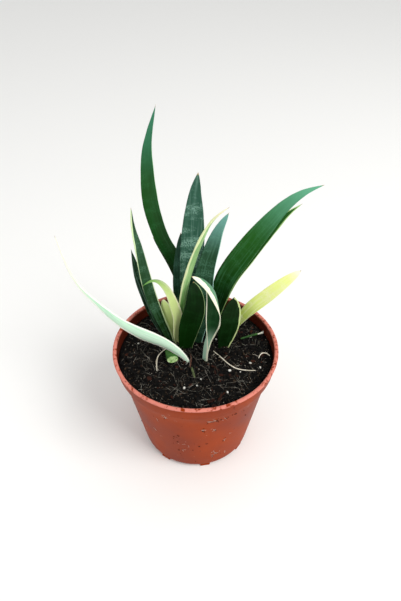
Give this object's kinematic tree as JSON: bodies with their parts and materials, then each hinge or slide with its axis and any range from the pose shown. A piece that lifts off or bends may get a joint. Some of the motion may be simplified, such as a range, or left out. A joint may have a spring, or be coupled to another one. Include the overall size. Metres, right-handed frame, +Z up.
{
  "type": "potted snake plant",
  "caption": "Young variegated snake plant with stiff, pointed, cream-edged leaves in a round plastic nursery pot filled with potting mix.",
  "frame": {"origin": "centre of the pot's underside, on the surface it stands on", "axes": "+Z up, along the pot's axis; -Y towards the front of the plant; +X to its right"},
  "size_m": [0.157, 0.11, 0.23],
  "materials": {
    "pot_plastic": "moulded terracotta-coloured plastic, slightly glossy, dusty",
    "potting_mix": "moist dark peat with bark, fibre and perlite",
    "leaf_green": "waxy dark green with a cream margin",
    "leaf_pale": "waxy pale green, streaked, with a cream margin",
    "leaf_yellow": "young, waxy yellow-green",
    "root": "dry pale root",
    "twig": "rough brown bark"
  },
  "bodies": {
    "root": {"leaf_tall_left": "leaf_green", "leaf_behind_tall": "leaf_green", "leaf_centre_broad": "leaf_green", "leaf_behind_centre": "leaf_green", "leaf_striped_centre": "leaf_pale", "leaf_centre_right": "leaf_green", "leaf_front_spoon": "leaf_green", "leaf_curled_front": "leaf_green", "leaf_right_blunt": "leaf_green", "leaf_yellow_right": "leaf_yellow", "leaf_long_right": "leaf_green", "leaf_under_right": "leaf_green", "leaf_long_left": "leaf_pale", "leaf_left_inner": "leaf_green", "leaf_left_outer": "leaf_green", "leaf_young_arched": "leaf_yellow", "leaf_young_left": "leaf_yellow", "leaf_stub": "leaf_pale", "green_stem": "leaf_green", "brown_twig": "twig", "root_front": "root", "root_left": "root", "root_right": "root", "nursery_pot": "pot_plastic", "potting_mix": "potting_mix"}
  },
  "joints": []
}
